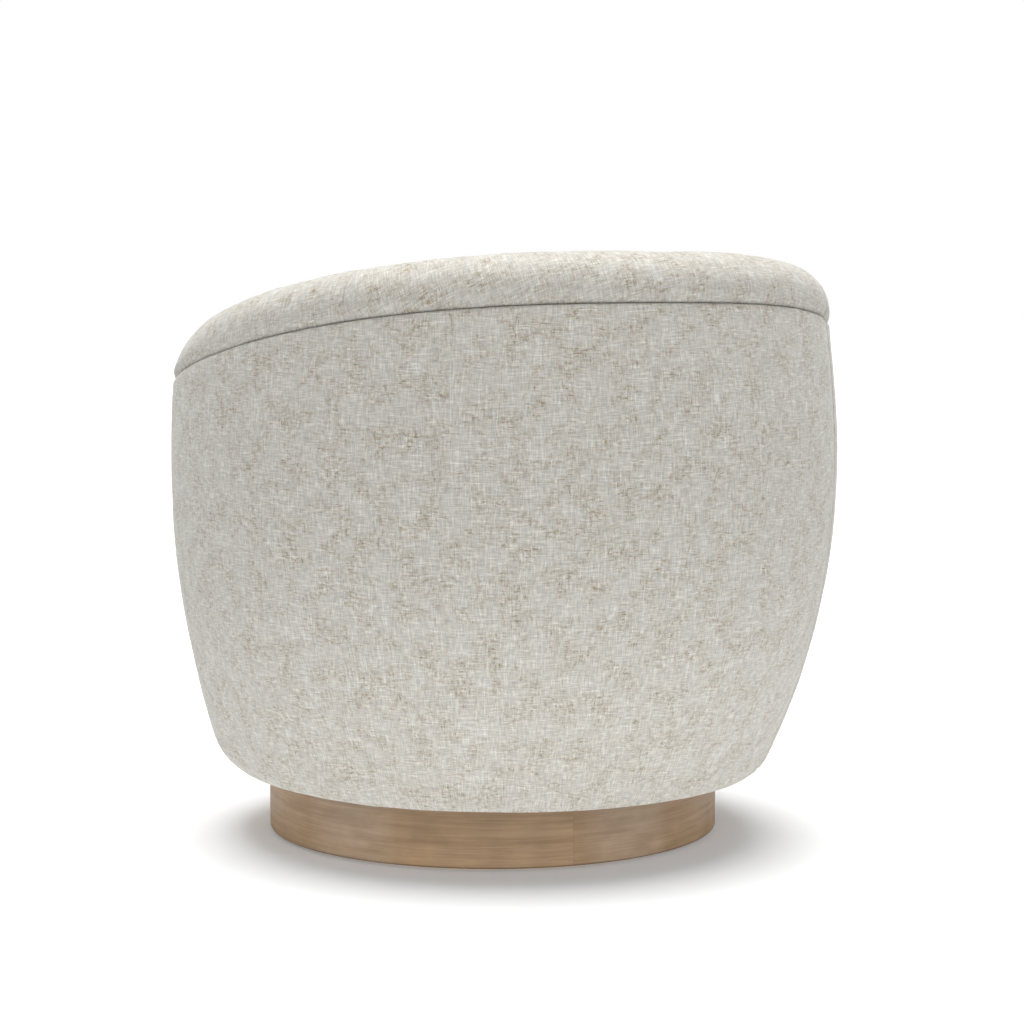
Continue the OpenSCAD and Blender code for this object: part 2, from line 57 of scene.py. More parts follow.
# The cap: the values named FALL, DRAW and LEAN come in towards the fronts of the arms

CAP_H, CAP_ARM_H, CAP_LEAN, CAP_RUN = 0.0555, 0.063, 0.0190, 3.3
CAP_BACK_POWER, CAP_ARM_POWER = 0.92, 1.15
CAP_OVERHANG, OVERHANG_DRAW = 0.001, 0.0024
CAP_LIFT, LIFT_FALL, CAP_LAP = 0.014, 0.007, 0.0013
CAP_CURL, CURL_FALL, CURL_POWER = 0.0062, 0.0036, 1.8

# Shape of the shell


def plan_r(a, half_w, half_d):
    s, c = math.sin(math.radians(a)), math.cos(math.radians(a))
    return half_w * half_d / math.hypot(half_d * s, half_w * c)


def seam_z(a):
    share = (1 - math.cos(math.pi * min(1, abs(a) / RIM_LEVEL_ANGLE) ** RIM_POWER)) / 2
    return RIM_Z - RIM_DROP * share


def lower_inset(a):
    share = math.cos(math.radians(min(abs(a), ARM_END) * 90 / ARM_END))
    return SIDE_INSET + (BACK_INSET - SIDE_INSET) * share


def corner(a):
    return plan_r(a, SHELL_HALF_W, SHELL_HALF_D) - lower_inset(a) - plan_r(a, UNDER_HALF_W, UNDER_HALF_D)


def outside_r(a, z):
    """Radius of the shell's outside at an angle from the middle of the back, and a height."""
    b = min(abs(a), 360 - abs(a))
    u = min(1, (z - SHELL_BOTTOM) / (WIDEST_Z - SHELL_BOTTOM))
    v = min(1, max(0, (z - SHELL_BOTTOM) / corner(b)))
    w = max(0, (z - WIDEST_Z) / (RIM_Z - WIDEST_Z))
    return (plan_r(b, SHELL_HALF_W, SHELL_HALF_D) - lower_inset(b) * (1 - u) ** INSET_POWER
            - corner(b) * (1 - math.sqrt(max(0, 1 - (1 - v) ** 2))) - UPPER_DRAW * w * w)


def inside_r(a, z):
    """Radius of the shell's inside, with the swell of its panels."""
    b = abs(a)
    v = max(0, min(1, (z - DECK_TOP) / (seam_z(b) - DECK_TOP)))
    if b < SEAM_ANGLE:
        across, swell = math.cos(math.radians(90 * b / SEAM_ANGLE)), BACK_SWELL
    else:
        across, swell = math.sin(math.radians(180 * (b - SEAM_ANGLE) / (ARM_END - SEAM_ANGLE))), ARM_SWELL
    return plan_r(b, INSIDE_HALF_W, INSIDE_HALF_D) - swell * math.sin(math.pi * v) * math.sqrt(max(0, across))


def at(a, r, z):
    return Vector((r * math.sin(math.radians(a)), r * math.cos(math.radians(a)), z))


# Shader groups shared by the materials


class Shader:
    """A short way to add nodes to one tree and to join them."""

    def __init__(self, tree):
        self.tree, self.nodes, self.links = tree, tree.nodes, tree.links

    def put(self, socket, value):
        if isinstance(value, bpy.types.NodeSocket):
            self.links.new(value, socket)
        elif value is not None:
            socket.default_value = value

    def add(self, kind, inputs=None, **settings):
        node = self.nodes.new(kind)
        for key, value in settings.items():
            setattr(node, key, value)
        for key, value in (inputs or {}).items():
            self.put(node.inputs[key], value)
        return node

    def math(self, operation, a, b=None, clamp=False):
        node = self.add("ShaderNodeMath", operation=operation, use_clamp=clamp)
        for socket, value in zip(node.inputs, (a, b)):
            self.put(socket, value)
        return node.outputs[0]

    def spread(self, value, low, high, to_low=0.0, to_high=1.0, smooth=True):
        node = self.add("ShaderNodeMapRange", interpolation_type="SMOOTHSTEP" if smooth else "LINEAR")
        for key, entry in zip(("Value", "From Min", "From Max", "To Min", "To Max"),
                              (value, low, high, to_low, to_high)):
            self.put(node.inputs[key], entry)
        return node.outputs[0]

    def mix(self, share, a, b, blend="MIX"):
        node = self.add("ShaderNodeMix", data_type="RGBA", blend_type=blend)
        self.put(node.inputs[0], share)
        self.put(node.inputs[6], a)
        self.put(node.inputs[7], b)
        return node.outputs[2]

    def noise(self, vector, scale, detail=2.0, rough=0.5, distortion=0.0):
        node = self.add("ShaderNodeTexNoise", {"Vector": vector, "Scale": scale, "Detail": detail,
                                               "Roughness": rough, "Distortion": distortion})
        return node.outputs["Fac"]

    def vector(self, x, y, z):
        node = self.add("ShaderNodeCombineXYZ")
        for socket, value in zip(node.inputs, (x, y, z)):
            self.put(socket, value)
        return node.outputs[0]

    def split(self, vector):
        return self.add("ShaderNodeSeparateXYZ", {"Vector": vector}).outputs

    def on_object(self):
        return self.add("ShaderNodeTexCoord").outputs["Object"]

    def ranged(self, value, low, high):
        """Noise, most of which lies between 0.3 and 0.7, stretched evenly to a range."""
        return self.spread(value, 0.3, 0.7, low, high, smooth=False)

    def ripple(self, value, pitch):
        return self.math("SINE", self.math("MULTIPLY", value, 2 * math.pi / pitch))

    def crossed(self, x, y, pitch):
        """The over and under of a plain weave, or pressed points: both ways at one pitch."""
        return self.math("MULTIPLY", self.ripple(x, pitch), self.ripple(y, pitch))

    def toned(self, colour, tone):
        """A colour made lighter or darker by a value about one."""
        return self.mix(1.0, colour, self.vector(tone, tone, tone), "MULTIPLY")


def group(name, inputs, outputs):
    """A shader group with named sockets, and its inside."""
    tree = bpy.data.node_groups.new(name, "ShaderNodeTree")
    for label, kind, default in inputs:
        socket = tree.interface.new_socket(label, in_out="INPUT", socket_type="NodeSocket" + kind)
        if default is not None:
            socket.default_value = default
    for label, kind in outputs:
        tree.interface.new_socket(label, in_out="OUTPUT", socket_type="NodeSocket" + kind)
    s = Shader(tree)
    return tree, s, s.add("NodeGroupInput").outputs, s.add("NodeGroupOutput").inputs


# Width and length of the streaks in the linen

LONG_SLUB, FINE_YARN, FINEST_YARN = (0.0026, 0.060), (0.0015, 0.016), (0.0011, 0.012)
WARP_DASH, WEFT_DASH = (0.0016, 0.007), (0.0015, 0.009)
WARP_SMUDGE, WEFT_SMUDGE = (0.0042, 0.009), (0.0034, 0.012)
DASH_SHARE, SMUDGE_SHARE = 0.58, 0.44
WEAVE_PITCH, YARN_DRIFT, DRIFT_SCALE, PATCH_SCALE = 0.0034, 0.006, 22.0, 34.0


def linen_weave():
    """Plain weave of uneven linen yarn: pale long slubs, short tan slubs in clusters, faint mottling."""
    tree, s, i, o = group("linen_weave", [
        ("Cloth", "Vector", None), ("Ground", "Color", (0.5, 0.48, 0.43, 1)),
        ("Pale", "Color", (0.7, 0.69, 0.65, 1)), ("Tan", "Color", (0.25, 0.2, 0.13, 1)),
        ("Slubs", "Float", 1.0)], [("Color", "Color"), ("Height", "Float")])
    drift = s.add("ShaderNodeTexNoise", {"Vector": i["Cloth"], "Scale": DRIFT_SCALE, "Detail": 2.0})
    shift = s.add("ShaderNodeVectorMath", {0: drift.outputs["Color"], 1: (0.5, 0.5, 0.5)},
                  operation="SUBTRACT")
    bend = s.add("ShaderNodeVectorMath", {0: shift.outputs[0], "Scale": YARN_DRIFT}, operation="SCALE")
    cloth = s.add("ShaderNodeVectorMath", {0: i["Cloth"], 1: bend.outputs[0]}, operation="ADD").outputs[0]
    x, y, _ = s.split(cloth)

    def yarn(across, along, size, seed, detail=2.0):
        """Noise drawn out along a yarn."""
        width, length = size
        place = s.vector(s.math("DIVIDE", across, width), s.math("DIVIDE", along, length), seed)
        return s.noise(place, 1.0, detail, 0.6)

    def tones(warp, weft, low, high):
        """Both yarns' tones, each stretched evenly to a range about one."""
        return s.math("MULTIPLY", s.spread(warp, 0.25, 0.75, low, high, smooth=False),
                      s.spread(weft, 0.25, 0.75, low, high, smooth=False))

    def woven(warp, weft, clamp=False):
        """The yarn that lies on top at each crossing."""
        return s.math("ADD", s.math("MULTIPLY", warp, top), s.math("MULTIPLY", weft, under), clamp=clamp)

    top = s.spread(s.crossed(x, y, WEAVE_PITCH), -0.5, 0.5, 0.2, 0.8)
    under = s.math("SUBTRACT", 1.0, top)
    pale = woven(s.spread(yarn(x, y, LONG_SLUB, 1.0), 0.50, 0.68),
                 s.spread(yarn(y, x, LONG_SLUB, 11.0), 0.50, 0.68), clamp=True)
    patches = s.noise(cloth, PATCH_SCALE, 3.0, 0.6)
    cluster = s.spread(patches, 0.42, 0.62, 0.25, 1.0)
    dashes = s.math("MAXIMUM", s.spread(yarn(x, y, WARP_DASH, 81.0, 1.0), 0.58, 0.70),
                    s.spread(yarn(y, x, WEFT_DASH, 91.0, 1.0), 0.56, 0.69))
    smudges = s.math("MAXIMUM", s.spread(yarn(x, y, WARP_SMUDGE, 41.0), 0.50, 0.68),
                     s.spread(yarn(y, x, WEFT_SMUDGE, 51.0), 0.50, 0.68))
    tan = s.math("ADD", s.math("MULTIPLY", dashes, DASH_SHARE), s.math("MULTIPLY", smudges, SMUDGE_SHARE))
    tan = s.math("MULTIPLY", s.math("MULTIPLY", tan, cluster), i["Slubs"], clamp=True)
    warp, weft = yarn(x, y, FINE_YARN, 21.0, 1.0), yarn(y, x, FINE_YARN, 31.0, 1.0)
    finest = tones(yarn(x, y, FINEST_YARN, 61.0, 0.0), yarn(y, x, FINEST_YARN, 71.0, 0.0), 0.90, 1.10)
    shade = s.math("MULTIPLY", tones(warp, weft, 0.88, 1.12), finest)
    mottle = s.math("MULTIPLY", shade, s.ranged(patches, 1.02, 0.98))
    s.put(o["Color"], s.toned(s.mix(tan, s.mix(pale, i["Ground"], i["Pale"]), i["Tan"]), mottle))
    s.put(o["Height"], s.math("ADD", s.math("MULTIPLY", woven(warp, weft), 0.7),
                              s.math("MULTIPLY", pale, 0.3)))
    return tree


# Length and width of the streaks in the wood

GROWTH_RING, GRAIN_LINE, PORE, FIGURE = (0.30, 0.009), (0.07, 0.0016), (0.012, 0.0007), (0.05, 0.2)


def wood_grain():
    """Fine drawn-out grain with pores, figure and slow changes of tone. Runs along the vector's X."""
    tree, s, i, o = group("wood_grain", [
        ("Grain", "Vector", None), ("Light", "Color", (0.4, 0.27, 0.17, 1)),
        ("Dark", "Color", (0.2, 0.12, 0.07, 1)), ("Fineness", "Float", 1.0)],
        [("Color", "Color"), ("Height", "Float"), ("Roughness", "Float")])
    x, y, z = s.split(i["Grain"])

    def streaks(size, seed, detail=3.0):
        """Noise drawn out along the grain."""
        length, width = size
        across = s.math("MULTIPLY", s.math("DIVIDE", y, width), i["Fineness"])
        place = s.vector(s.math("DIVIDE", x, length), across, s.math("ADD", s.math("DIVIDE", z, width), seed))
        return s.noise(place, 1.0, detail, 0.6, 0.2)

    rings, lines = streaks(GROWTH_RING, 0.0), streaks(GRAIN_LINE, 5.0)
    pores = s.spread(streaks(PORE, 9.0, 1.0), 0.60, 0.74)
    figure = s.noise(s.vector(s.math("DIVIDE", x, FIGURE[0]), s.math("DIVIDE", y, FIGURE[1]), 3.0),
                     1.0, 2.0, 0.5)
    tone = s.math("ADD", s.math("MULTIPLY", rings, 0.5), s.math("MULTIPLY", lines, 0.5))
    figured = s.math("ADD", tone, s.math("MULTIPLY", s.math("SUBTRACT", figure, 0.5), 0.25))
    colour = s.mix(s.spread(figured, 0.34, 0.66), i["Dark"], i["Light"])
    s.put(o["Color"], s.mix(s.math("MULTIPLY", pores, 0.35), colour, i["Dark"]))
    s.put(o["Height"], s.math("SUBTRACT", s.math("MULTIPLY", lines, 0.6), s.math("MULTIPLY", pores, 0.8)))
    s.put(o["Roughness"], s.ranged(tone, 0.50, 0.40))
    return tree


def fine_wear():
    """Smudges and specks for metal and felt: a tone about one, a change of roughness, and a height."""
    tree, s, i, o = group("fine_wear", [("Place", "Vector", None), ("Size", "Float", 0.01)],
                          [("Tone", "Float"), ("Rough", "Float"), ("Height", "Float")])
    inverse = s.math("DIVIDE", 1.0, i["Size"])
    smudge = s.noise(i["Place"], inverse, 4.0, 0.6)
    speck = s.noise(i["Place"], s.math("MULTIPLY", inverse, 9.0), 2.0, 0.6)
    mixed = s.math("ADD", s.math("MULTIPLY", smudge, 0.7), s.math("MULTIPLY", speck, 0.3))
    s.put(o["Tone"], s.ranged(mixed, 0.86, 1.10))
    s.put(o["Rough"], s.ranged(smudge, -0.07, 0.09))
    s.put(o["Height"], speck)
    return tree


GROUPS = {"linen_weave": linen_weave(), "wood_grain": wood_grain(), "fine_wear": fine_wear()}


# Materials


def new_material(name, roughness=0.6, metallic=0.0):
    material = bpy.data.materials.new(name)
    material.use_nodes = True
    s = Shader(material.node_tree)
    s.nodes.clear()
    shader = s.add("ShaderNodeBsdfPrincipled", {"Roughness": roughness, "Metallic": metallic})
    s.links.new(shader.outputs[0], s.add("ShaderNodeOutputMaterial").inputs[0])
    return material, s, shader


def placed(s, name, inputs):
    node = s.add("ShaderNodeGroup", node_tree=GROUPS[name])
    for key, value in inputs.items():
        s.put(node.inputs[key], value)
    return node.outputs


def bump(s, shader, height, strength, distance):
    node = s.add("ShaderNodeBump", {"Height": height, "Strength": strength, "Distance": distance})
    s.links.new(node.outputs[0], shader.inputs["Normal"])


def rgb(r, g, b):
    """A colour written as it is seen, 0 to 255."""
    def linear(c):
        c /= 255
        return c / 12.92 if c <= 0.04045 else ((c + 0.055) / 1.055) ** 2.4
    return (linear(r), linear(g), linear(b), 1.0)


# Names that the covers' meshes and the linen share, and how far the painted shade in the seams darkens the
# cloth at most

CLOTH_MAP, PAINTED_SEAM_SHADE, PAINTED_SEAM_DARKEST = "cloth", "painted_seam_shade", 0.45


def linen(name, ground=(198, 195, 187), pale=(218, 217, 210), tan=(150, 131, 95), slubs=1.0):
    """Linen that lies as each cover's own map says, with painted shade that darkens it where the cover has a
    seam.
    """
    material, s, shader = new_material(name, roughness=0.88)
    cloth = s.add("ShaderNodeUVMap", uv_map=CLOTH_MAP).outputs[0]
    weave = placed(s, "linen_weave", {"Cloth": cloth, "Ground": rgb(*ground), "Pale": rgb(*pale),
                                      "Tan": rgb(*tan), "Slubs": slubs})
    # Painted shade in the seams: each cover's mesh holds how dark its cloth is painted beside a seam, and the
    # weave's colour is darkened by that much
    seam = s.add("ShaderNodeAttribute", attribute_name=PAINTED_SEAM_SHADE).outputs["Fac"]
    painted_shade_tone = s.spread(seam, 0.0, 1.0, 1.0, PAINTED_SEAM_DARKEST, smooth=False)
    s.links.new(s.toned(weave["Color"], painted_shade_tone), shader.inputs["Base Color"])
    shader.inputs["Sheen Weight"].default_value = 0.22
    shader.inputs["Sheen Roughness"].default_value = 0.6
    shader.inputs["Specular IOR Level"].default_value = 0.2
    bump(s, shader, weave["Height"], 0.5, 0.0008)
    return material


VENEER_JOINT, JOINT_LINE, JOINT_DARK = math.radians(5.0), (0.0002, 0.0007), 0.14
PAINTED_REFLECTION_BANDS, REFLECTION_BANDS_TURN, BLOTCH = 5.0, math.radians(10.4), (0.045, 0.022)
FOOT_Z, FOOT_SHADOW_HEIGHT, FOOT_SHADOW_DARK = 0.0030, 0.0035, 0.8


def veneer(name):
    """Light weathered veneer bent round the plinth: level grain, one upright joint, five soft pale bands
    of painted reflection, and a painted shadow along its foot."""
    material, s, shader = new_material(name, roughness=0.45)
    x, y, z = s.split(s.on_object())
    turn = s.math("ARCTAN2", x, s.math("SUBTRACT", y, SWIVEL_Y))
    along = s.math("MULTIPLY", turn, PLINTH_R)
    joint_at = VENEER_JOINT * PLINTH_R
    side = s.math("GREATER_THAN", along, joint_at)
    place = s.vector(s.math("ADD", along, s.math("MULTIPLY", side, 3.7)), z, s.math("MULTIPLY", side, 0.11))
    grain = placed(s, "wood_grain", {"Grain": place, "Light": rgb(181, 150, 115),
                                     "Dark": rgb(157, 126, 92), "Fineness": 1.0})
    blotches = s.noise(s.vector(s.math("DIVIDE", along, BLOTCH[0]), s.math("DIVIDE", z, BLOTCH[1]), 2.0),
                       1.0, 3.0, 0.55)
    lower = s.spread(z, 0.010, 0.045, 1.035, 0.985)
    tone = s.math("MULTIPLY", s.ranged(blotches, 0.90, 1.10),
                  s.math("MULTIPLY", lower, s.spread(side, 0.0, 1.0, 0.98, 1.03)))
    warm = s.toned(grain["Color"], tone)
    # Painted reflection: five soft pale upright bands round the plinth, where lamps would shine on its coat,
    # mixed into the colour towards a pale grey
    bands = s.spread(s.math("COSINE", s.math("MULTIPLY", s.math("ADD", turn, REFLECTION_BANDS_TURN), PAINTED_REFLECTION_BANDS)),
                     0.2, 1.0)
    warm = s.mix(s.math("MULTIPLY", bands, s.ranged(blotches, 0.10, 0.22)), warm, rgb(214, 205, 194))
    line = s.spread(s.math("ABSOLUTE", s.math("SUBTRACT", along, joint_at)), *JOINT_LINE, 1.0, 0.0)
    # Painted shadow along the foot: the band is painted darker over its lowest few millimetres above the
    # floor, darkest at its lower edge
    painted_foot_shadow = s.spread(z, FOOT_Z, FOOT_Z + FOOT_SHADOW_HEIGHT, FOOT_SHADOW_DARK, 0.0)
    dark = s.math("MAXIMUM", s.math("MULTIPLY", line, JOINT_DARK), painted_foot_shadow)
    # The dark colour is both the joint's own dark line and the painted shadow along the foot
    s.links.new(s.mix(dark, warm, rgb(62, 48, 36)), shader.inputs["Base Color"])
    s.links.new(grain["Roughness"], shader.inputs["Roughness"])
    shader.inputs["Coat Weight"].default_value = 0.12
    shader.inputs["Coat Roughness"].default_value = 0.35
    bump(s, shader, s.math("SUBTRACT", grain["Height"], s.math("MULTIPLY", line, 0.4)), 0.25, 0.0005)
    return material


PLY, RING_DRIFT = 0.003, 0.02


def timber(name, light, dark, turned=False):
    """Planed hidden timber or plywood. Its grain is upright. In turned boards and bent rails it runs
    along X, with the plies in level layers."""
    material, s, shader = new_material(name, roughness=0.6)
    x, y, z = s.split(s.on_object())
    if turned:
        radius = s.math("SQRT", s.math("ADD", s.math("MULTIPLY", x, x), s.math("MULTIPLY", y, y)))
        place = s.vector(x, s.math("ADD", y, s.math("MULTIPLY", radius, RING_DRIFT)), z)
    else:
        place = s.vector(z, x, y)
    grain = placed(s, "wood_grain", {"Grain": place, "Light": rgb(*light), "Dark": rgb(*dark),
                                     "Fineness": 0.8})
    plies = s.ripple(z if turned else x, PLY)
    layered = s.mix(s.spread(plies, 0.2, 0.9, 0.0, 0.18), grain["Color"], rgb(*dark))
    s.links.new(layered, shader.inputs["Base Color"])
    s.links.new(grain["Roughness"], shader.inputs["Roughness"])
    bump(s, shader, grain["Height"], 0.3, 0.0006)
    return material


def worn(name, colour, roughness, metallic=0.0, size=0.012, strength=0.15):
    """Metal or felt with faint smudges and specks."""
    material, s, shader = new_material(name, roughness, metallic)
    wear = placed(s, "fine_wear", {"Place": s.on_object(), "Size": size})
    s.links.new(s.toned(rgb(*colour), wear["Tone"]), shader.inputs["Base Color"])
    s.links.new(s.math("ADD", wear["Rough"], roughness, clamp=True), shader.inputs["Roughness"])
    bump(s, shader, wear["Height"], strength, 0.0003)
    return material


RIB_PITCH, STRIPE_PITCH, POINT_PITCH = 0.003, 0.032, 0.0026


def strap_cloth(name, ground, stripe):
    """Elastic seat webbing: ribs across, and a coloured stripe woven along it."""
    material, s, shader = new_material(name, roughness=0.85)
    place = s.on_object()
    x, y, _ = s.split(place)
    bands = s.ripple(s.math("ADD", x, y), STRIPE_PITCH)
    colour = s.mix(s.spread(bands, 0.80, 0.9, 0.0, 0.8), rgb(*ground), rgb(*stripe))
    fuzz = s.ranged(s.noise(place, 900.0, 2.0), 0.85, 1.1)
    s.links.new(s.toned(colour, fuzz), shader.inputs["Base Color"])
    bump(s, shader, s.crossed(x, y, RIB_PITCH), 0.5, 0.0008)
    return material


def bonded_cloth(name, colour):
    """Thin bonded cloth: short fibres lying every way, with rows of small pressed points."""
    material, s, shader = new_material(name, roughness=0.9)
    place = s.on_object()
    x, y, _ = s.split(place)
    fibres = s.noise(place, 700.0, 4.0, 0.7, 0.6)
    points = s.crossed(x, y, POINT_PITCH)
    s.links.new(s.toned(rgb(*colour), s.ranged(fibres, 0.75, 1.3)), shader.inputs["Base Color"])
    bump(s, shader, s.math("ADD", fibres, s.math("MULTIPLY", points, 0.4)), 0.4, 0.0005)
    return material


LINEN = linen("oatmeal_linen")
DECK = linen("deck_lining", (193, 191, 183), (212, 211, 205), (154, 138, 108), slubs=0.8)
VENEER = veneer("weathered_veneer")
PLYWOOD = timber("birch_plywood", (206, 176, 134), (160, 124, 84))
BOARD = timber("plywood_board", (200, 170, 128), (156, 121, 82), turned=True)
RAIL = timber("bent_beech", (198, 158, 118), (154, 110, 74), turned=True)
STEEL = worn("zinc_plated_steel", (176, 178, 180), 0.34, metallic=1.0)
BOLT_STEEL = worn("blackened_bolts", (92, 92, 94), 0.38, metallic=1.0, size=0.006)
BALL_STEEL = worn("polished_balls", (214, 215, 218), 0.12, metallic=1.0, size=0.004, strength=0.03)
BRASS = worn("pressed_cage", (176, 146, 84), 0.32, metallic=1.0, size=0.006)
FELT = worn("grey_glides", (74, 72, 70), 0.92, size=0.004, strength=0.6)
WEBBING = strap_cloth("elastic_webbing", (186, 170, 136), (138, 60, 48))
DUST = bonded_cloth("underside_cloth", (38, 38, 40))

FINISHES = {
    VENEER: ["plinth_band"],
    BOARD: ["plinth_top_board", "plinth_bottom_ring", "base_ring", "seat_ring"],
    PLYWOOD: ["plinth_blocks", "cross_rail_left", "cross_rail_right"]
    + [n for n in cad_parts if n.startswith("rib_")],
    RAIL: ["top_rail"],
    STEEL: ["swivel_lower_plate", "swivel_upper_plate", "swivel_pin"],
    BOLT_STEEL: ["swivel_lower_bolts", "swivel_upper_bolts"],
    BALL_STEEL: ["bearing_balls"],
    BRASS: ["bearing_cage"],
    FELT: ["glides"],
    WEBBING: ["webbing_lengthwise", "webbing_crosswise"],
}
for finish, names in FINISHES.items():
    for node_name in names:
        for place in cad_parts[node_name].material_slots:
            place.material = finish


# Covers. A pair here is a roll's depth and width, or a wave's size and amount.

TUCKS = (0.0, 0.0006, 0.0014, 0.0025, 0.0040, 0.0062)
THREAD_R, TURN_STEPS, WALL_STEPS = 0.400, 14, 60
COVER_PITCH, INSIDE_PITCH, CAP_PITCH, FRONT_PITCH = 0.009, 0.010, 0.008, 0.007
COVER_WADDING, INSIDE_WADDING, CAP_WADDING, FRONT_WADDING = 0.0065, 0.014, 0.006, 0.010
EDGE_ROLL, INSIDE_TOP_ROLL = (0.003, 0.005), (0.0045, 0.0075)
INSIDE_JOINT, FRONT_JOINT = (0.0030, 0.0045), (0.0016, 0.0030)
TOP_DIP, JOINT_WIDTH, DEEPEST_JOINT, JOINT_PAINTED_SHADE_REACH = 0.0032, 0.0010, 0.003, 0.0018
HOLLOW, HOLLOW_SHARE, HOLLOW_REACH, PUCKER_REACH, CALM_EDGE = 0.0002, 0.35, 0.012, 0.020, 0.02
CAP_HOLLOW, CAP_HOLLOW_SHARE, CAP_HOLLOW_REACH, CAP_CALM_EDGE = 0.0003, 0.3, 0.010, 0.01
PUCKER, SWELL, RUFFLE = (0.016, 0.0009), (0.11, 0.0012), (0.035, 0.00035)
INSIDE_SWELL, CAP_SWELL, CAP_RUFFLE, CAP_PUCKER = (0.09, 0.0018), (0.07, 0.0009), (0.022, 0.0004), 0.013
FRONT_SWELL, INSIDE_CALM_EDGE = (0.05, 0.0012), 0.03


def spaced(length, pitch):
    """Distances across a cover: close at both edges, where it rolls into its seams, and even between."""
    count = max(2, round((length - 2 * TUCKS[-1]) / pitch))
    middle = [TUCKS[-1] + (length - 2 * TUCKS[-1]) * k / count for k in range(count + 1)]
    return list(TUCKS[:-1]) + middle + [length - t for t in reversed(TUCKS[:-1])]


def respaced(distances, length):
    """The same rows on a cover of another length: its edge rows keep their distance from the edge."""
    first, last, whole = TUCKS[-1], distances[-1] - TUCKS[-1], distances[-1]

    def shifted(d):
        if d <= first:
            return d
        if d >= last:
            return length - (whole - d)
        return first + (d - first) * (length - 2 * first) / (last - first)

    return [shifted(d) for d in distances]


def roll(distance, depth, width):
    """How far a cover dips into a seam at a distance from it."""
    if distance >= width:
        return 0.0
    t = 1 - distance / width
    return depth * (1 - math.sqrt(max(0, 1 - t * t)))


def painted_seam_shade(distance, joint):
    """How dark the painted shade is beside an upright joint: more at a deep one, gone within some
    millimetres.
    """
    return min(1.0, joint / DEEPEST_JOINT) * math.exp(-distance / JOINT_PAINTED_SHADE_REACH)


def wave(point, size, amount, seed=0.0):
    """A soft unevenness of padding: its size across, and how far it stands up or down."""
    return amount * noise.noise(Vector(point) / size + Vector((seed, seed * 0.7, -seed)))


def gridded(name, columns, flip=False):
    """A cover from a grid's columns. Each crossing has its point, its place in the cloth and the painted
    shade beside its seam."""
    across, up = len(columns) - 1, len(columns[0]) - 1
    bm = bmesh.new()
    bmesh.ops.create_grid(bm, x_segments=across, y_segments=up, size=1)
    layer = bm.loops.layers.uv.new(CLOTH_MAP)
    seam = bm.verts.layers.float.new(PAINTED_SEAM_SHADE)
    cloth = {}
    for v in bm.verts:
        i, j = round((v.co.x + 1) / 2 * across), round((v.co.y + 1) / 2 * up)
        v.co, cloth[v.index], v[seam] = columns[i][j]
    for face in bm.faces:
        face.smooth = True
        for loop in face.loops:
            loop[layer].uv = cloth[loop.vert.index]
    if flip:
        bmesh.ops.reverse_faces(bm, faces=bm.faces[:])
    return made(name, bm)


def made(name, bm):
    mesh = bpy.data.meshes.new(name)
    bm.to_mesh(mesh)
    bm.free()
    piece = bpy.data.objects.new(name, mesh)
    scene.collection.objects.link(piece)
    return piece


def backed(piece, thickness):
    """The cover's wadding: a closed skin of this thickness behind its face."""
    solid = piece.modifiers.new("wadding", "SOLIDIFY")
    solid.thickness, solid.offset, solid.use_even_offset = thickness, -1, False
    return piece


def upholstered(piece, node, material=LINEN):
    piece.data.materials.append(material)
    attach(piece, "seat")
    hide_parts(node)
    return piece


def outside_profile(a, high):
    """The shell's outside at an angle, from the edge it turns under up to a height: its points, and the
    length run at each."""
    turned = corner(min(abs(a), 360 - abs(a)))
    heights = [SHELL_BOTTOM + turned * (1 - math.cos(math.pi / 2 * k / TURN_STEPS))
               for k in range(TURN_STEPS)]
    heights += [SHELL_BOTTOM + turned + (high - SHELL_BOTTOM - turned) * k / WALL_STEPS
                for k in range(WALL_STEPS + 1)]
    points = [(outside_r(a, z), z) for z in heights]
    run = [0.0]
    for p, q in zip(points, points[1:]):
        run.append(run[-1] + math.dist(p, q))
    return points, run


def length_at(points, run, z):
    """The length run up a profile at a height."""
    k = next(n for n, p in enumerate(points) if n and p[1] >= z - 1e-6)
    return run[k - 1] + (run[k] - run[k - 1]) * (z - points[k - 1][1]) / (points[k][1] - points[k - 1][1])


def point_at(points, run, d):
    """A profile's radius and height at a length run, and the direction that faces out there."""
    k = max(1, next((n for n, r in enumerate(run) if r >= d), len(run) - 1))
    t = (d - run[k - 1]) / max(1e-9, run[k] - run[k - 1])
    (r0, z0), (r1, z1) = points[k - 1], points[k]
    length = math.hypot(r1 - r0, z1 - z0)
    return r0 + (r1 - r0) * t, z0 + (z1 - z0) * t, (z1 - z0) / length, (r0 - r1) / length


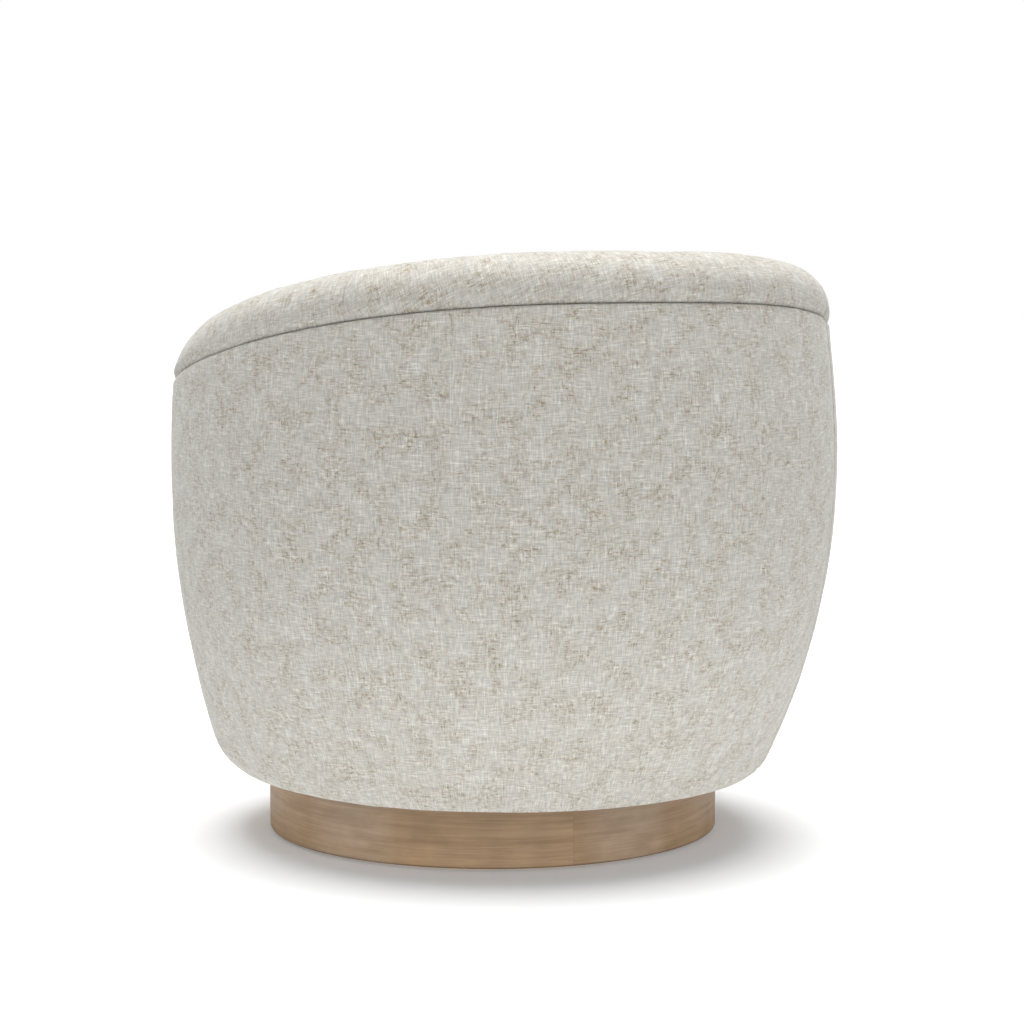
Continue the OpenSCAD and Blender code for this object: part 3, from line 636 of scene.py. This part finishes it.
def outside_cover(name, node, ends, seed, joints, top=None):
    """Tight cover over the shell's outside, from the edge it turns under to its seam."""
    start, end = ends
    width = math.radians(end - start) * THREAD_R
    across = spaced(width, COVER_PITCH)
    angles = [start + (end - start) * d / width for d in across]
    tops = [top or seam_z(a) - OUTSIDE_GAP for a in angles]
    profiles = [outside_profile(a, high) for a, high in zip(angles, tops)]
    up = spaced(profiles[len(profiles) // 2][1][-1], COVER_PITCH)
    columns = []
    for from_start, a, high, (points, run) in zip(across, angles, tops, profiles):
        length = run[-1]
        widest = length_at(points, run, min(high, WIDEST_Z))
        side = min(from_start, width - from_start)
        joint = joints[0] if from_start < width / 2 else joints[1]
        column = []
        for d in respaced(up, length):
            r, z, out, rise = point_at(points, run, d)
            spot = at(a, r, z)
            below = max(0, 1 - (length - d) / TUCKS[-1])
            dip = (TOP_DIP * below ** 2 + roll(side, joint, JOINT_WIDTH + joint) + roll(d, *EDGE_ROLL)
                   + (HOLLOW + joint * HOLLOW_SHARE) * math.exp(-side / HOLLOW_REACH))
            pucker = wave(spot, *PUCKER, seed) * math.exp(-(length - d) / PUCKER_REACH)
            swell = wave(spot, *SWELL, seed + 3) + wave(spot, *RUFFLE, seed + 7)
            move = pucker + swell * min(1, (length - d) / CALM_EDGE, side / CALM_EDGE) - dip
            cloth = (math.radians(a) * THREAD_R + seed, d - widest + seed)
            # Each crossing carries the painted shade beside the cover's upright joints
            column.append((at(a, r + out * move, z + rise * move), cloth, painted_seam_shade(side, joint)))
        columns.append(column)
    return upholstered(backed(gridded(name, columns, flip=True), COVER_WADDING), node)


def inside_cover(name, node, ends, seed):
    """Padded cover on the shell's inside, from the deck to the seam under the cap."""
    start, end = ends
    width = math.radians(end - start) * INSIDE_HALF_W
    up = spaced(RIM_Z - BORDER_TOP, INSIDE_PITCH)
    columns = []
    for d in spaced(width, INSIDE_PITCH):
        a = start + (end - start) * d / width
        length, side = seam_z(a) - INSIDE_GAP - BORDER_TOP, min(d, width - d)
        column = []
        for h in respaced(up, length):
            z = BORDER_TOP + INSIDE_GAP + h
            r = inside_r(a, z)
            dip = roll(length - h, *INSIDE_TOP_ROLL) + roll(side, *INSIDE_JOINT) + roll(h, *EDGE_ROLL)
            swell = wave(at(a, r, z), *INSIDE_SWELL, seed)
            swell *= min(1, side / INSIDE_CALM_EDGE, (length - h) / INSIDE_CALM_EDGE)
            cloth = (math.radians(a) * INSIDE_HALF_W + seed, z + seed)
            column.append((at(a, r + dip + swell, z), cloth, 0.0))
        columns.append(column)
    return upholstered(backed(gridded(name, columns), INSIDE_WADDING), node)


def cap_section(a, t, width_share, height_share):
    """A point of the cap's section: t runs from 0 outside, over the top, to 1 inside, and on by up to 1
    beyond either, down that side to the seam."""
    z = seam_z(a)
    out, into = outside_r(a, z), inside_r(a, z)
    run = min(1, abs(a) / ARM_END) ** CAP_RUN
    half = ((out - into) / 2 + CAP_OVERHANG - OVERHANG_DRAW * run) * width_share
    middle = (out + into) / 2
    power = CAP_BACK_POWER + (CAP_ARM_POWER - CAP_BACK_POWER) * run
    high = (CAP_H + (CAP_ARM_H - CAP_H) * run) * height_share
    lift, curl = (CAP_LIFT - LIFT_FALL * run) * height_share, (CAP_CURL - CURL_FALL * run) * width_share
    if t < 0 or t > 1:
        down, side = (-t, 1) if t < 0 else (t - 1, -1)
        return (middle + side * (half - curl * down ** CURL_POWER),
                z + OUTSIDE_GAP + lift - (lift + CAP_LAP) * down)
    c, s = math.cos(math.pi * t), abs(math.sin(math.pi * t))
    return (middle + half * math.copysign(abs(c) ** power, c) - CAP_LEAN * run * width_share * s,
            z + OUTSIDE_GAP + lift + (high - lift) * s ** power)


CAP_SIDE, CAP_ARCH, NOSE_STEPS, NOSE_THIN, NOSE_ROOM = 5, 40, 16, 0.002, 0.0066
AROUND = ([-1 + k / CAP_SIDE for k in range(CAP_SIDE)] + [k / CAP_ARCH for k in range(CAP_ARCH + 1)]
          + [1 + (k + 1) / CAP_SIDE for k in range(CAP_SIDE)])


def cap_roll(name, node, ends, seed, joints, nose=False, slant=0.0):
    """Padded roll along the rim, with rolled seams, and a round nose where it ends over an arm."""
    start, end = ends
    width = math.radians(abs(end - start)) * THREAD_R
    sign = 1 if end > start else -1
    stations = [(start + (end - start) * d / width, 1.0, 1.0, d) for d in spaced(width, CAP_PITCH)]
    if nose:
        stations = [station for station in stations if station[3] < width - NOSE_ROOM]
        for k in range(NOSE_STEPS + 1):
            turn = math.radians(90 * k / NOSE_STEPS)
            stations.append((end + sign * NOSE_ANGLE * math.sin(turn), max(NOSE_THIN, math.cos(turn)),
                             max(NOSE_THIN, math.cos(turn) ** 0.5), width + NOSE_REACH * math.sin(turn)))
    columns = []
    for a, wide, high, d in stations:
        side = d if nose else min(d, width - d)
        joint = joints[0] if d < width / 2 else joints[1]
        dip = (roll(side, joint, JOINT_WIDTH + joint)
               + (CAP_HOLLOW + joint * CAP_HOLLOW_SHARE) * math.exp(-side / CAP_HOLLOW_REACH))
        middle_r = (outside_r(a, seam_z(a)) + inside_r(a, seam_z(a))) / 2
        tilt = math.radians(slant * (1 + math.sin(math.radians(a) * 1.6)) / 2)
        column, run, last = [], 0.0, None
        for t in AROUND:
            r, z = cap_section(a, t, wide, high)
            if last:
                run += math.dist(last, (r, z))
            last = (r, z)
            towards = Vector((r - middle_r, z - seam_z(a) - 0.02))
            towards.normalize()
            spot = at(a, r, z)
            swell = wave(spot, *CAP_SWELL, seed) + wave(spot, *CAP_RUFFLE, seed + 5)
            pucker = wave(spot, CAP_PUCKER, 0.3 * joint, seed + 9) * math.exp(-side / PUCKER_REACH)
            held = 1 if 0 <= t <= 1 else 0.3
            move = ((swell + pucker) * min(1, side / CAP_CALM_EDGE) - dip) * held * min(1, wide * 2)
            x, y = math.radians(a) * THREAD_R, run
            cloth = (x * math.cos(tilt) - y * math.sin(tilt) + seed,
                     x * math.sin(tilt) + y * math.cos(tilt) + seed)
            # Each crossing carries the painted shade beside the roll's upright joints
            column.append((at(a, r + towards.x * move, z + towards.y * move), cloth,
                           painted_seam_shade(side, joint)))
        columns.append(column)
    return upholstered(backed(gridded(name, columns, flip=sign > 0), CAP_WADDING), node)


FRONT_GIRTH, FRONT_H, FRONT_R, FRONT_CLEAR = 0.140, 0.245, 0.36, 0.02


def arm_front_cover(name, node, side, seed):
    """Upright rounded front of an arm, from the deck to the cap."""
    up = spaced(FRONT_H, COVER_PITCH)
    columns = []
    for d in spaced(FRONT_GIRTH, FRONT_PITCH):
        t = math.radians(-90 + 180 * d / FRONT_GIRTH)
        a = ARM_END + FRONT_CLEAR + NOSE_ANGLE * math.cos(t)
        length, edge = seam_z(a) - INSIDE_GAP - BORDER_TOP, min(d, FRONT_GIRTH - d)
        column = []
        for h in respaced(up, length):
            z = BORDER_TOP + INSIDE_GAP + h
            out, into = outside_r(ARM_END, z), inside_r(ARM_END, z)
            dip = roll(edge, *FRONT_JOINT) + roll(length - h, *EDGE_ROLL)
            half = (out - into) / 2 - dip
            spot = at(side * (a - math.degrees(dip / FRONT_R)), (out + into) / 2 + half * math.sin(t), z)
            spot += Vector((0, -1, 0)) * wave(spot, *FRONT_SWELL, seed) * min(1, edge / CALM_EDGE)
            column.append((spot, (side * d + seed, z + seed), 0.0))
        columns.append(column)
    piece = gridded(name, columns, flip=side < 0)
    return upholstered(backed(piece, FRONT_WADDING), node)


def merged_copy(node):
    """A node's solid as one closed mesh of its own."""
    bm = bmesh.new()
    bm.from_mesh(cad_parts[node].data)
    bmesh.ops.transform(bm, matrix=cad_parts[node].matrix_world, verts=bm.verts[:])
    bmesh.ops.remove_doubles(bm, verts=bm.verts[:], dist=0.00002)
    return bm


def copied(piece):
    """The piece's mesh, ready to change."""
    bm = bmesh.new()
    bm.from_mesh(piece.data)
    bm.verts.ensure_lookup_table()
    return bm


def applied(piece):
    """The piece's modifiers become its mesh."""
    graph = bpy.context.evaluated_depsgraph_get()
    mesh = bpy.data.meshes.new_from_object(piece.evaluated_get(graph), depsgraph=graph)
    piece.modifiers.clear()
    piece.data = mesh


def replaced_mesh(piece, bm):
    bm.normal_update()
    bm.to_mesh(piece.data)
    bm.free()


def reach(points):
    """The lowest and the highest corner of some points."""
    return [[pick(p[k] for p in points) for k in range(3)] for pick in (min, max)]


# The loose cushion: it starts smaller, is filled, and then fits its solid's box, less a clear edge

CUSHION_Z, CUSHION_T, CUSHION_Y, CUSHION_R = 0.3046, 0.132, -0.03, 0.34
EDGE_R, UPPER_SEAM, LOWER_SEAM = 0.045, math.radians(36), math.radians(-46)
PAD_START, PAD_VOXEL, QUICK_VOXEL = (0.975, 0.98, 0.93), 0.0055, 0.012
FILL_STEPS, FILL_PRESSURE, FILL_MOST, PAD_CLEAR, WALL_CLEAR = 20, 4, 0.024, 0.0015, 0.0012
PAD_SEAM, PAD_PAINTED_SEAM_SHADE, PAD_PAINTED_SHADE_REACH = (0.0030, 0.0070), 0.7, 0.0026
TOP_CLOTH, SIDE_CLOTH, CLOTH_WRAP = (1.7, 0.9), (4.4, 2.2), 0.3


def filled(pad):
    """The cushion blown up by air pressure, without weight."""
    cloth = pad.modifiers.new("fill", "CLOTH")
    cloth.settings.quality = 4
    cloth.settings.mass = 0.3
    cloth.settings.tension_stiffness = cloth.settings.compression_stiffness = 25
    cloth.settings.bending_stiffness = 4
    cloth.settings.use_pressure = True
    cloth.settings.uniform_pressure_force = FILL_PRESSURE
    cloth.settings.effector_weights.gravity = 0
    for step in range(1, FILL_STEPS + 1):
        scene.frame_set(step)
    applied(pad)
    scene.frame_set(1)


def sewn(bm):
    """The cushion held off the shell, with a seam round its upper and its lower edge and painted shade
    along both, and its cloth laid.
    """
    layer = bm.loops.layers.uv.new(CLOTH_MAP)
    shade = bm.verts.layers.float.new(PAINTED_SEAM_SHADE)
    bm.normal_update()
    bm.verts.ensure_lookup_table()
    rise = [v.normal.z for v in bm.verts]
    for _ in range(3):
        rise = [(rise[v.index] + sum(rise[e.other_vert(v).index] for e in v.link_edges))
                / (1 + len(v.link_edges)) for v in bm.verts]
    for v in bm.verts:
        a, r = math.degrees(math.atan2(v.co.x, v.co.y)), math.hypot(v.co.x, v.co.y)
        if abs(a) < ARM_END and v.co.z > CUSHION_Z + 0.01:
            limit = inside_r(a, v.co.z) - WALL_CLEAR
            if r > limit:
                v.co.x, v.co.y = v.co.x * limit / r, v.co.y * limit / r
        lean = math.asin(max(-1, min(1, rise[v.index])))
        seam = EDGE_R * min(abs(lean - UPPER_SEAM), abs(lean - LOWER_SEAM))
        v.co -= v.normal * roll(seam, *PAD_SEAM)
        # Painted shade along the seams: the cloth is painted darker close to each
        v[shade] = PAD_PAINTED_SEAM_SHADE * math.exp(-seam / PAD_PAINTED_SHADE_REACH)
    for face in bm.faces:
        face.smooth = True
        level = sum(rise[v.index] for v in face.verts) / len(face.verts)
        middle = face.calc_center_median()
        side = math.atan2(middle.x, middle.y)
        for loop in face.loops:
            co = loop.vert.co
            if level > math.sin(UPPER_SEAM) or level < math.sin(LOWER_SEAM):
                loop[layer].uv = (co.x + TOP_CLOTH[0], co.y + TOP_CLOTH[1])
                continue
            around = math.atan2(co.x, co.y)
            if around < -math.pi + CLOTH_WRAP and side > 0:
                around += 2 * math.pi
            elif around > math.pi - CLOTH_WRAP and side < 0:
                around -= 2 * math.pi
            loop[layer].uv = (around * CUSHION_R + SIDE_CLOTH[0], co.z + SIDE_CLOTH[1])


def seat_pad():
    """Loose seat cushion: filled over its solid's shape, fitted to its box, then sewn."""
    bm = merged_copy("seat_cushion")
    room = reach([v.co.copy() for v in bm.verts])
    middle = Vector((0, CUSHION_Y, CUSHION_Z + CUSHION_T / 2))
    for v in bm.verts:
        v.co = middle + Vector([(v.co[k] - middle[k]) * PAD_START[k] for k in range(3)])
    pad = made("seat_pad", bm)
    even = pad.modifiers.new("even", "REMESH")
    even.mode, even.voxel_size = "VOXEL", PAD_VOXEL
    applied(pad)
    start = [v.co.copy() for v in pad.data.vertices]
    filled(pad)
    bm = copied(pad)
    for v, rest in zip(bm.verts, start):
        move = v.co - rest
        if move.length > FILL_MOST:
            move *= FILL_MOST / move.length
        v.co = rest + move
        v.co.z = max(v.co.z, CUSHION_Z + INSIDE_GAP)
    bmesh.ops.smooth_vert(bm, verts=bm.verts[:], factor=0.5,
                          use_axis_x=True, use_axis_y=True, use_axis_z=True)
    puffed = reach([v.co.copy() for v in bm.verts])
    for v in bm.verts:
        for k in range(3):
            share = (v.co[k] - puffed[0][k]) / (puffed[1][k] - puffed[0][k])
            v.co[k] = room[0][k] + PAD_CLEAR + share * (room[1][k] - room[0][k] - 2 * PAD_CLEAR)
    replaced_mesh(pad, bm)
    finer = pad.modifiers.new("finer", "SUBSURF")
    finer.levels = finer.render_levels = 1
    applied(pad)
    bm = copied(pad)
    sewn(bm)
    replaced_mesh(pad, bm)
    return upholstered(pad, "seat_cushion")


DECK_R, DECK_ROUND, DECK_CORNER, DECK_TUCKED = 0.38, 0.0065, (130.2, 131.2), 127


def deck_cover():
    """Padded deck under the cushion, rounded along its edge, its ends tucked behind the arm fronts."""
    bm = merged_copy("deck_pad")
    for v in bm.verts:
        a, r = math.degrees(math.atan2(abs(v.co.x), v.co.y)), math.hypot(v.co.x, v.co.y)
        if DECK_CORNER[0] < a < DECK_CORNER[1]:
            r += outside_r(DECK_TUCKED, DECK_TOP) - outside_r(a, DECK_TOP)
            v.co = at(math.copysign(DECK_TUCKED, v.co.x), r, v.co.z)
    bmesh.ops.dissolve_limit(bm, angle_limit=math.radians(1), verts=bm.verts[:], edges=bm.edges[:])
    rims = [e for e in bm.edges if len(e.link_faces) == 2 and e.calc_face_angle() > math.radians(60)
            and abs(e.verts[0].co.z - e.verts[1].co.z) < 0.001]
    bmesh.ops.bevel(bm, geom=rims, offset=DECK_ROUND, segments=4, profile=0.5, affect="EDGES", material=-1,
                    clamp_overlap=True)
    bmesh.ops.triangulate(bm, faces=[f for f in bm.faces if len(f.verts) > 4])
    layer = bm.loops.layers.uv.new(CLOTH_MAP)
    for face in bm.faces:
        face.smooth = abs(face.normal.z) < 0.999
        for loop in face.loops:
            co = loop.vert.co
            flat = abs(face.normal.z) > 0.7
            loop[layer].uv = (co.x, co.y) if flat else (math.atan2(co.x, -co.y) * DECK_R, co.z)
    piece = upholstered(made("deck_cover", bm), "deck_pad", material=DECK)
    return piece


SHEET_R, SHEET_HOLE_R, SHEET_Z, SHEET_WAVE = 0.2925, 0.1628, 0.0797, (0.06, 0.00012)


def underside_sheet():
    """Thin cloth tacked flat under the base ring, with a hole over the swivel."""
    bm = bmesh.new()
    bmesh.ops.create_circle(bm, segments=96, radius=SHEET_R)
    hole = bmesh.ops.create_circle(bm, segments=96, radius=SHEET_HOLE_R)
    bmesh.ops.translate(bm, verts=hole["verts"], vec=(0, SWIVEL_Y, 0))
    bmesh.ops.bridge_loops(bm, edges=bm.edges[:])
    bmesh.ops.subdivide_edges(bm, edges=[e for e in bm.edges if len(e.link_faces) == 2], cuts=9,
                              use_grid_fill=True)
    layer = bm.loops.layers.uv.new(CLOTH_MAP)
    for v in bm.verts:
        v.co.z = SHEET_Z + wave(v.co, *SHEET_WAVE)
    for face in bm.faces:
        face.smooth = True
        if face.normal.z > 0:
            face.normal_flip()
        for loop in face.loops:
            loop[layer].uv = (loop.vert.co.x, loop.vert.co.y)
    piece = made("underside_sheet", bm)
    piece.data.materials.append(DUST)
    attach(piece, "seat")
    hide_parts("dust_cover")
    return piece


# Camera, floor and light

PICTURE_PX, FOCAL_PX, SENSOR = 1024, 2600, 36.0
CAMERA_AT, CAMERA_DOWN, CAMERA_TURN = (1.3233, 2.8621, 0.669), 5.07, 155
FLOOR_HALF, FLOOR_TONE, FLOOR_TINT = 30, (0.85, 0.87), (0.975, 0.985)
FLOOR_BOUNCE, FLOOR_GLOW, ROOM_LIGHT = 0.64, 0.19, 0.18

camera = bpy.data.objects.new("camera", bpy.data.cameras.new("camera"))
camera.data.sensor_width, camera.data.lens = SENSOR, FOCAL_PX / PICTURE_PX * SENSOR
camera.location = CAMERA_AT
camera.rotation_euler = (math.radians(90 - CAMERA_DOWN), 0, math.radians(CAMERA_TURN))
scene.collection.objects.link(camera)
scene.camera = camera

floor_bm = bmesh.new()
bmesh.ops.create_grid(floor_bm, x_segments=2, y_segments=2, size=FLOOR_HALF)
floor = made("floor", floor_bm)
white, ws, white_shader = new_material("pale_floor", roughness=0.9)
seen = ws.add("ShaderNodeLightPath").outputs["Is Camera Ray"]
tone = ws.ranged(ws.noise(ws.on_object(), 1.5, 3.0), *FLOOR_TONE)
tone = ws.math("MULTIPLY", tone, ws.spread(seen, 0.0, 1.0, FLOOR_BOUNCE, 1.0, smooth=False))
red, green = (ws.math("MULTIPLY", tone, share) for share in FLOOR_TINT)
ws.links.new(ws.vector(red, green, tone), white_shader.inputs["Base Color"])
white_shader.inputs["Specular IOR Level"].default_value = 0.1
strength = ws.math("MULTIPLY", seen, FLOOR_GLOW)
glow = ws.add("ShaderNodeEmission", {"Color": (1, 1, 1, 1), "Strength": strength})
both = ws.add("ShaderNodeAddShader", {0: white_shader.outputs[0], 1: glow.outputs[0]})
ws.links.new(both.outputs[0], next(n for n in ws.nodes if n.type == "OUTPUT_MATERIAL").inputs[0])
floor.data.materials.append(white)

world = bpy.data.worlds.new("room")
scene.world = world
world.use_nodes = True
wt = Shader(world.node_tree)
wt.nodes.clear()
path = wt.add("ShaderNodeLightPath").outputs
mirrored = wt.math("MAXIMUM", path["Is Glossy Ray"], path["Is Transmission Ray"])
shown = wt.math("MAXIMUM", path["Is Camera Ray"], mirrored)
strength = wt.spread(shown, 0.0, 1.0, ROOM_LIGHT, 1.0, smooth=False)
back = wt.add("ShaderNodeBackground", {"Color": (1, 1, 1, 1), "Strength": strength})
wt.links.new(back.outputs[0], wt.add("ShaderNodeOutputWorld").inputs[0])


def lamp(name, strength, spread, tilt, turn):
    """A broad soft light from a direction: tilt from overhead, turn from +Y towards +X."""
    light = bpy.data.lights.new(name, "SUN")
    light.energy, light.angle = strength, math.radians(spread)
    piece = bpy.data.objects.new(name, light)
    piece.rotation_euler = (math.radians(-tilt), 0, math.radians(-turn))
    scene.collection.objects.link(piece)


lamp("broad_light", strength=4.05, spread=45, tilt=5, turn=195)
lamp("fill_light", strength=0.72, spread=50, tilt=68, turn=13)

BOUNCE_SIZE, BOUNCE_POWER, BOUNCE_Z = 2.2, 8.0, 0.001
bounce_light = bpy.data.lights.new("floor_bounce", "AREA")
bounce_light.shape, bounce_light.size, bounce_light.energy = "DISK", BOUNCE_SIZE, BOUNCE_POWER
bounce = bpy.data.objects.new("floor_bounce", bounce_light)
bounce.location, bounce.rotation_euler = (0, 0, BOUNCE_Z), (math.pi, 0, 0)
bounce.visible_camera = bounce.visible_glossy = False
scene.collection.objects.link(bounce)

scene.view_settings.view_transform = "Standard"

# The chair: from and to which angle each cover goes, and how deep its cloth rolls into the joints there

HALF_GAP = 0.012
BACK = (-SEAM_ANGLE + HALF_GAP, SEAM_ANGLE - HALF_GAP)
LEFT_ARM = (SEAM_ANGLE + HALF_GAP, ARM_END - HALF_GAP)
RIGHT_ARM = (-ARM_END + HALF_GAP, -SEAM_ANGLE - HALF_GAP)
FRONT = (ARM_END + HALF_GAP, 360 - ARM_END - HALF_GAP)
LEFT_CAP, RIGHT_CAP = (SEAM_ANGLE + HALF_GAP, ARM_END), (-SEAM_ANGLE - HALF_GAP, -ARM_END)
DEEP, SOFT, FLUSH, CAP_DEEP, CAP_FAINT = 0.0030, 0.0012, 0.0, 0.0032, 0.0003

outside_cover("back_cover", "outside_back", BACK, 0.0, (DEEP, FLUSH))
outside_cover("arm_cover_left", "outside_arm_left", LEFT_ARM, 2.3, (FLUSH, SOFT))
outside_cover("arm_cover_right", "outside_arm_right", RIGHT_ARM, 5.1, (SOFT, DEEP))
outside_cover("border_cover", "front_border", FRONT, 7.7, (SOFT, SOFT), top=BORDER_TOP)
inside_cover("inside_back_cover", "inside_back", BACK, 1.3)
inside_cover("inside_arm_cover_left", "inside_arm_left", LEFT_ARM, 3.1)
inside_cover("inside_arm_cover_right", "inside_arm_right", RIGHT_ARM, 4.9)
cap_roll("cap_back_roll", "cap_back", BACK, 6.4, (CAP_DEEP, CAP_FAINT), slant=18.0)
cap_roll("cap_arm_roll_left", "cap_arm_left", LEFT_CAP, 8.2, (CAP_FAINT, FLUSH), nose=True)
cap_roll("cap_arm_roll_right", "cap_arm_right", RIGHT_CAP, 9.6, (CAP_DEEP, FLUSH), nose=True)
arm_front_cover("arm_front_cover_left", "arm_front_left", 1, 10.3)
arm_front_cover("arm_front_cover_right", "arm_front_right", -1, 11.9)
seat_pad()
deck_cover()
underside_sheet()
